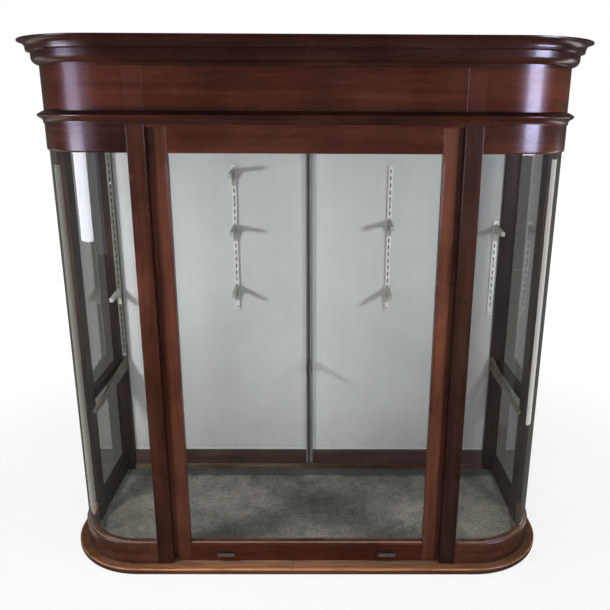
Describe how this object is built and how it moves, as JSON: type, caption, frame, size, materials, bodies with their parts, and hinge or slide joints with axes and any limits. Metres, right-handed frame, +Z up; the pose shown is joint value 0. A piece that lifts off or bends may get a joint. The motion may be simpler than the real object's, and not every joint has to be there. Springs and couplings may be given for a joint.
{
  "type": "display case",
  "caption": "Shop display cabinet with bent-glass front corners, a rising glazed front sash on cords and weights, and slotted shelf standards on the back.",
  "frame": {"origin": "centre of the case's bounding box in plan, on the surface that the plinth stands on", "axes": "+Z up, the glazed front faces -Y, +X to the right seen from the front"},
  "size_m": [1.632, 0.684, 1.618],
  "materials": {
    "mahogany": "polished, aged, with rubbed arrises",
    "plinth_wood": "worn polish",
    "glass": "clear plate",
    "white_board": "painted off-white, satin",
    "floor_covering": "painted grey, worn and mottled",
    "strip_metal": "dull, darkened",
    "shelf_metal": "white stove enamel",
    "lift_metal": "bronzed, rubbed on the lip",
    "brass": "tarnished",
    "iron": "rough cast",
    "cord_cotton": "braided cotton"
  },
  "bodies": {
    "case": {"plinth_board": "plinth_wood", "floor_panel": "floor_covering", "base_rail_left": "mahogany", "base_rail_right": "mahogany", "side_base_rails": "mahogany", "side_post_left": "mahogany", "side_post_right": "mahogany", "rear_post_left": "mahogany", "rear_post_right": "mahogany", "side_mid_rails": "mahogany", "side_head_rails": "mahogany", "rear_bottom_rail": "mahogany", "rear_rail_bead": "mahogany", "rear_top_rail": "mahogany", "back_panel_left": "white_board", "back_panel_right": "white_board", "back_joint_strip": "strip_metal", "head_band_left": "mahogany", "head_band_right": "mahogany", "frieze_centre": "mahogany", "frieze_left": "mahogany", "frieze_right": "mahogany", "moulding_front": "mahogany", "moulding_left": "mahogany", "moulding_right": "mahogany", "cornice_front": "mahogany", "cornice_left": "mahogany", "cornice_right": "mahogany", "top_board": "mahogany", "ceiling_panel": "white_board", "inner_head_rail": "mahogany", "bent_glass_left": "glass", "bent_glass_right": "glass", "side_panes_left": "glass", "side_panes_right": "glass", "stile_face_left": "mahogany", "stile_face_right": "mahogany", "pulley_board_left": "mahogany", "pulley_board_right": "mahogany", "weight_box_left": "mahogany", "weight_box_right": "mahogany", "pulley_cases": "brass", "cord_left": "cord_cotton", "cord_right": "cord_cotton", "standards_inner": "shelf_metal", "standards_outer": "shelf_metal", "shelf_brackets": "shelf_metal", "standard_screws": "shelf_metal", "side_bearers": "mahogany"},
    "sash": {"sash_stile_left": "mahogany", "sash_stile_right": "mahogany", "sash_top_rail": "mahogany", "sash_bottom_rail": "mahogany", "sash_glass": "glass", "sash_beads": "mahogany", "sash_lifts": "lift_metal"},
    "pulley_wheel_left": {"pulley_left": "brass"},
    "pulley_wheel_right": {"pulley_right": "brass"},
    "counterweight_left": {"weight_left": "iron"},
    "counterweight_right": {"weight_right": "iron"}
  },
  "joints": [
    {"name": "sash_lift", "type": "slide", "parent": "case", "child": "sash", "axis": [0, 0, 1], "range_m": [0, 0.8], "deforming": ["cord_left", "cord_right"]},
    {"name": "weight_left_drop", "type": "slide", "parent": "case", "child": "counterweight_left", "axis": [0, 0, -1], "range_m": [0, 0.8]},
    {"name": "weight_right_drop", "type": "slide", "parent": "case", "child": "counterweight_right", "axis": [0, 0, -1], "range_m": [0, 0.8]},
    {"name": "pulley_left_turn", "type": "hinge", "parent": "case", "child": "pulley_wheel_left", "pos_m": [-0.44275, -0.251, 1.48], "axis": [0, -1, 0], "range_deg": [0, 2740]},
    {"name": "pulley_right_turn", "type": "hinge", "parent": "case", "child": "pulley_wheel_right", "pos_m": [0.44275, -0.251, 1.48], "axis": [0, 1, 0], "range_deg": [0, 2740]}
  ],
  "couplings": [
    {"joint": "weight_left_drop", "follows": "sash_lift", "ratio": 1},
    {"joint": "weight_right_drop", "follows": "sash_lift", "ratio": 1},
    {"joint": "pulley_left_turn", "follows": "sash_lift", "rad_per_m": 59.702},
    {"joint": "pulley_right_turn", "follows": "sash_lift", "rad_per_m": 59.702}
  ]
}
